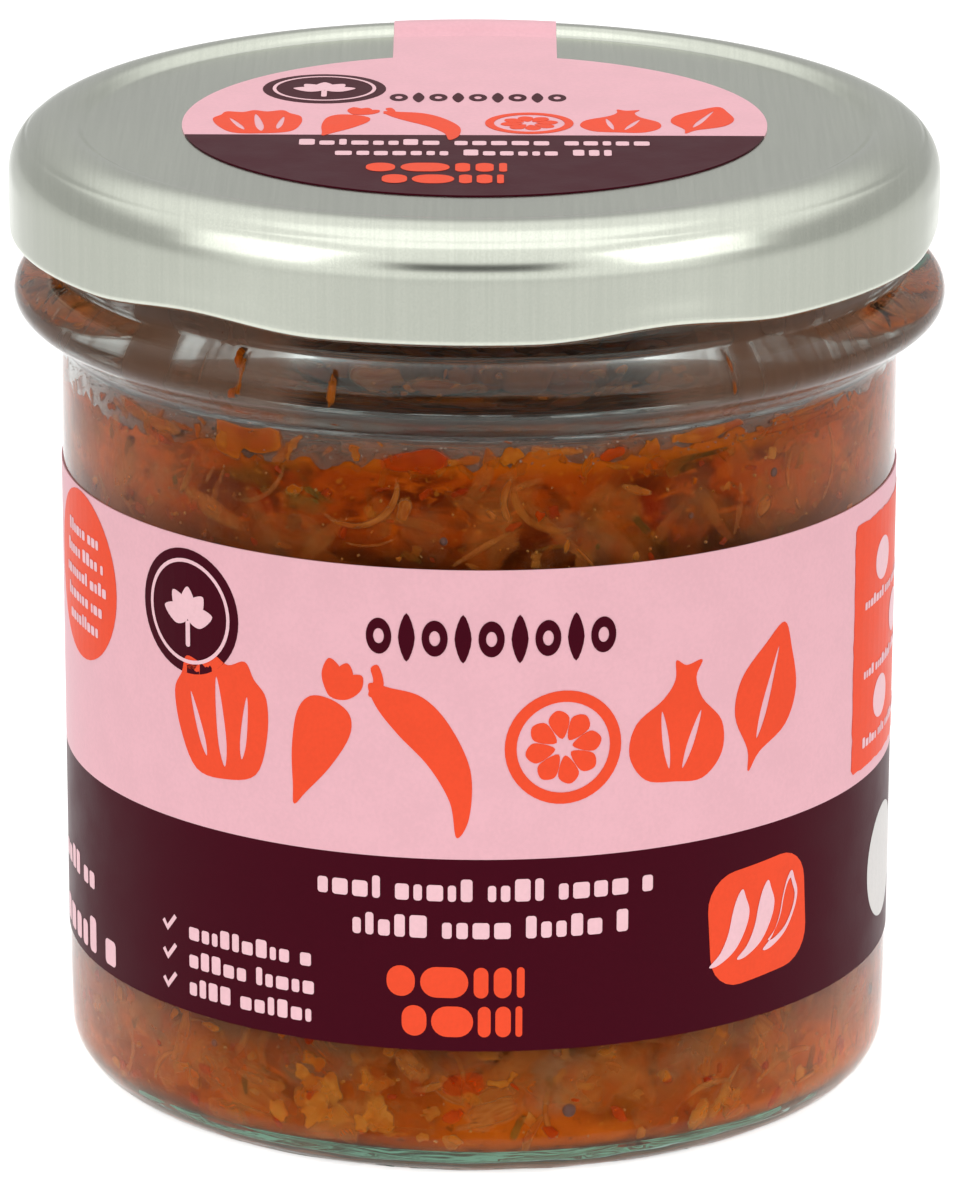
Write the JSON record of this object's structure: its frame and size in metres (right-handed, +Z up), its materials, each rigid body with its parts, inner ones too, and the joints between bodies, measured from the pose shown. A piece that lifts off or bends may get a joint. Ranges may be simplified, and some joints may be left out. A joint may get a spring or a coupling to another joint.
{
  "type": "kimchi jar",
  "caption": "Clear glass jar of chopped kimchi with a wide bead under a silver twist-off lid, a wraparound paper label and a round lid sticker.",
  "frame": {"origin": "centre of the jar's foot, on the surface it stands on", "axes": "+Z up along the jar's axis, -Y towards the front of the label, +X to the right when seen from the front"},
  "size_m": [0.0855, 0.0857, 0.0893],
  "materials": {
    "jar_glass": "clear soda-lime glass with a slight green tint at the thick foot",
    "kimchi": "wet chopped cabbage and radish in an orange-brown chilli brine",
    "label_body": "printed satin paper, pale pink over dark burgundy",
    "label_lid": "printed satin paper, pale pink over dark burgundy",
    "lid": "satin silver lacquer on tinplate"
  },
  "bodies": {
    "root": {"jar_glass": "jar_glass", "kimchi": "kimchi", "label_body": "label_body", "label_lid": "label_lid", "lid": "lid"}
  },
  "joints": []
}
